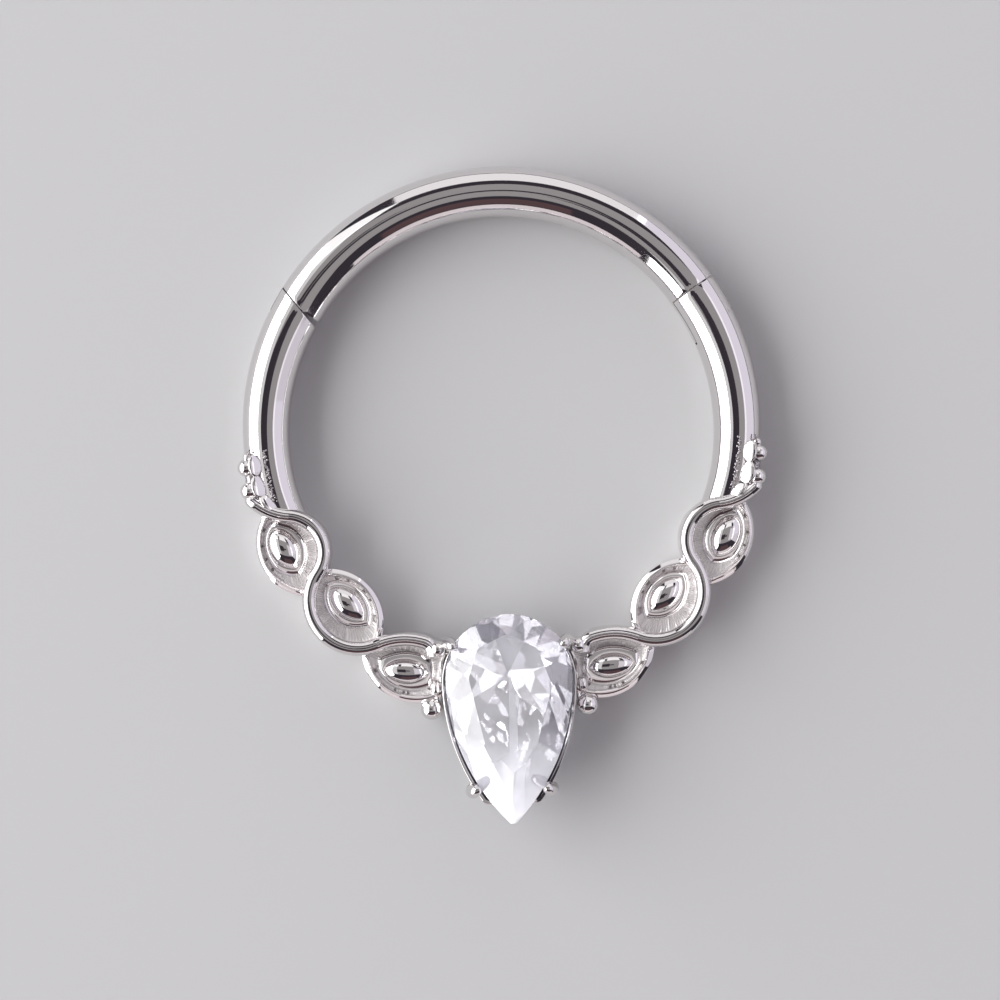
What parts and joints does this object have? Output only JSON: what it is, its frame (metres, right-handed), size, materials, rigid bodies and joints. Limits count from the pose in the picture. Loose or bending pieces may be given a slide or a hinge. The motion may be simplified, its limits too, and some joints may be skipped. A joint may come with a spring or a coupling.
{
  "type": "segment ring",
  "caption": "Hinged round wire ring for body jewellery with a cast lower third: oval cups tied by a winding ribbon, and a pear cut stone in a four prong basket.",
  "frame": {"origin": "middle of the whole piece in X and Y, at the level of the flat backs of the cups and the basket", "axes": "+Z is the face with the stone's table, -Y points along the stone to its free tip, and the hinge is on the +X side"},
  "size_m": [0.0126, 0.0156, 0.0021],
  "materials": {
    "polished_metal": "mirror polished surgical steel",
    "clear_stone": "clear cubic zirconia, faceted and polished"
  },
  "bodies": {
    "ring": {"ring_body": "polished_metal", "hinge_pin": "polished_metal", "pear_stone": "clear_stone"},
    "hinged_segment": {"segment": "polished_metal"}
  },
  "joints": [
    {"name": "segment_hinge", "type": "hinge", "parent": "ring", "child": "hinged_segment", "pos_m": [0.00537, 0.00416, 0.00062], "axis": [0, 0, -1], "range_deg": [0, 60]}
  ]
}
